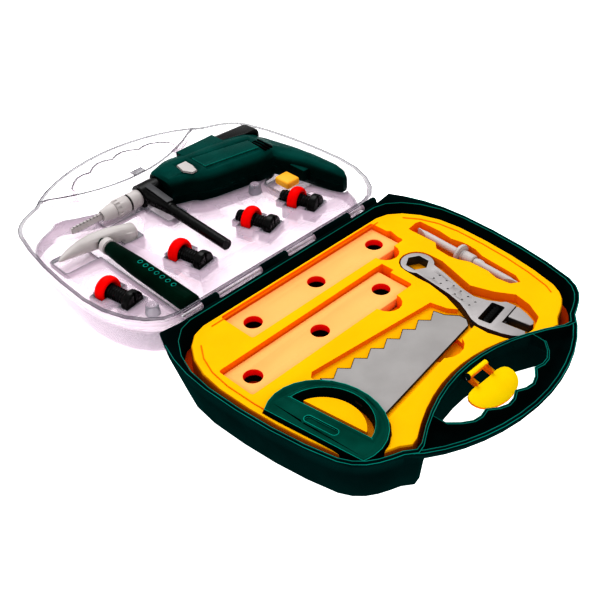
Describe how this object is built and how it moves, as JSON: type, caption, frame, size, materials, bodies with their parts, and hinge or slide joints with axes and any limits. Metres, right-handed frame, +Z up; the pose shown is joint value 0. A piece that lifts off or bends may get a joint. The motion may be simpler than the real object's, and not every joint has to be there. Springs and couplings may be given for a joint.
{
  "type": "toy tool box",
  "caption": "Toy tool box with a clear hinged lid: saw, wrench, planks, drill, hammer and nuts on bolts lie in moulded trays.",
  "frame": {"origin": "middle of the opened case on the surface that it lies on", "axes": "+Z up, +Y from the base towards the opened lid, +X along the lid's hinge"},
  "size_m": [0.38, 0.65, 0.059],
  "materials": {
    "base_green": "smooth gloss",
    "tray_yellow": "smooth gloss",
    "plank_cream": "satin",
    "silver": "metallic grey moulding",
    "steel": "drawn wire",
    "drill_green": "smooth gloss",
    "panel_green": "smooth gloss",
    "black": "smooth gloss",
    "grip_green": "fine texture",
    "red": "smooth gloss",
    "orange": "smooth gloss",
    "clear": "clear"
  },
  "bodies": {
    "base": {"base_shell": "base_green", "tool_tray": "tray_yellow", "hinge_pin": "steel", "latch_pin": "steel"},
    "lid": {"lid_shell": "clear", "lid_insert": "clear"},
    "latch": {"latch": "tray_yellow"},
    "plank_rear": {"plank_rear": "plank_cream"},
    "plank_front": {"plank_front": "plank_cream"},
    "saw": {"saw_blade": "silver", "saw_handle": "grip_green"},
    "wrench": {"wrench_body": "silver", "wrench_pin": "steel"},
    "wrench_worm": {"wrench_worm": "silver"},
    "wrench_jaw": {"wrench_jaw": "silver"},
    "driver": {"driver_shaft": "silver", "driver_ring": "black"},
    "drill": {"drill_casing_upper": "drill_green", "drill_casing_lower": "drill_green", "drill_screw_1": "steel", "drill_screw_2": "steel", "drill_screw_3": "steel", "drill_screw_4": "steel", "battery_door": "drill_green", "drill_panel": "panel_green", "drill_window": "silver", "drill_spine": "black", "drill_side_handle": "black", "motor": "steel", "battery_1": "black", "battery_2": "black"},
    "chuck": {"chuck_body": "silver", "chuck_band": "black", "chuck_ring": "silver", "chuck_nose": "silver", "drill_bit": "silver", "drill_spindle": "steel"},
    "pinion": {"motor_pinion": "steel"},
    "trigger": {"drill_trigger": "orange"},
    "hammer": {"hammer_head": "silver", "hammer_collar": "silver", "hammer_grip": "grip_green"},
    "bolt_1": {"bolt_1": "black"},
    "nut_1": {"nut_1": "red"},
    "bolt_2": {"bolt_2": "black"},
    "nut_2": {"nut_2": "red"},
    "bolt_3": {"bolt_3": "black"},
    "nut_3": {"nut_3": "red"},
    "bolt_4": {"bolt_4": "black"},
    "nut_4": {"nut_4": "red"}
  },
  "joints": [
    {"name": "lid_hinge", "type": "hinge", "parent": "base", "child": "lid", "pos_m": [0, 0, 0.0524], "axis": [-1, 0, 0], "range_deg": [-179.5, 0]},
    {"name": "latch_hinge", "type": "hinge", "parent": "base", "child": "latch", "pos_m": [0.004, -0.25505, 0.0465], "axis": [1, 0, 0], "range_deg": [-104, 0]},
    {"name": "plank_rear_lift", "type": "slide", "parent": "base", "child": "plank_rear", "axis": [0, 0, 1], "range_m": [0, 0.06]},
    {"name": "plank_front_lift", "type": "slide", "parent": "base", "child": "plank_front", "axis": [0, 0, 1], "range_m": [0, 0.06]},
    {"name": "saw_lift", "type": "slide", "parent": "base", "child": "saw", "axis": [0, 0, 1], "range_m": [0, 0.06]},
    {"name": "wrench_lift", "type": "slide", "parent": "base", "child": "wrench", "axis": [0, 0, 1], "range_m": [0, 0.06]},
    {"name": "worm_turn", "type": "hinge", "parent": "wrench", "child": "wrench_worm", "pos_m": [0.08028, -0.21416, 0.04], "axis": [0.9877, 0.1564, 0], "range_deg": [-922.5, 364.5]},
    {"name": "jaw_slide", "type": "slide", "parent": "wrench", "child": "wrench_jaw", "axis": [0.9877, 0.1564, 0], "range_m": [-0.0102, 0.004]},
    {"name": "driver_lift", "type": "slide", "parent": "base", "child": "driver", "axis": [0, 0, 1], "range_m": [0, 0.06]},
    {"name": "drill_lift", "type": "slide", "parent": "lid", "child": "drill", "axis": [0, 0, 1], "range_m": [0, 0.08]},
    {"name": "chuck_turn", "type": "hinge", "parent": "drill", "child": "chuck", "pos_m": [0.013, 0.2324, 0.0332], "axis": [1, 0, 0], "continuous": true},
    {"name": "pinion_turn", "type": "hinge", "parent": "drill", "child": "pinion", "pos_m": [0.013, 0.2196, 0.0332], "axis": [1, 0, 0], "continuous": true},
    {"name": "trigger_press", "type": "slide", "parent": "drill", "child": "trigger", "axis": [1, 0, 0], "range_m": [0, 0.005], "stiffness_N_per_m": 300, "springref_m": -0.002},
    {"name": "hammer_lift", "type": "slide", "parent": "lid", "child": "hammer", "axis": [0, 0, 1], "range_m": [0, 0.06]},
    {"name": "bolt_1_lift", "type": "slide", "parent": "lid", "child": "bolt_1", "axis": [0, 0, 1], "range_m": [0, 0.06]},
    {"name": "nut_1_turn", "type": "hinge", "parent": "bolt_1", "child": "nut_1", "pos_m": [-0.1383, 0.092, 0.0245], "axis": [-0.1564, 0.9877, 0], "continuous": true},
    {"name": "bolt_2_lift", "type": "slide", "parent": "lid", "child": "bolt_2", "axis": [0, 0, 1], "range_m": [0, 0.06]},
    {"name": "nut_2_turn", "type": "hinge", "parent": "bolt_2", "child": "nut_2", "pos_m": [-0.041, 0.0908, 0.0245], "axis": [-0.1736, 0.9848, 0], "continuous": true},
    {"name": "bolt_3_lift", "type": "slide", "parent": "lid", "child": "bolt_3", "axis": [0, 0, 1], "range_m": [0, 0.06]},
    {"name": "nut_3_turn", "type": "hinge", "parent": "bolt_3", "child": "nut_3", "pos_m": [0.0582, 0.0861, 0.0245], "axis": [-0.2588, 0.9659, 0], "continuous": true},
    {"name": "bolt_4_lift", "type": "slide", "parent": "lid", "child": "bolt_4", "axis": [0, 0, 1], "range_m": [0, 0.06]},
    {"name": "nut_4_turn", "type": "hinge", "parent": "bolt_4", "child": "nut_4", "pos_m": [0.123, 0.079, 0.0245], "axis": [-0.2756, 0.9613, 0], "continuous": true}
  ],
  "couplings": [
    {"joint": "worm_turn", "follows": "jaw_slide", "rad_per_m": 1570.8},
    {"joint": "pinion_turn", "follows": "chuck_turn", "ratio": -3}
  ]
}
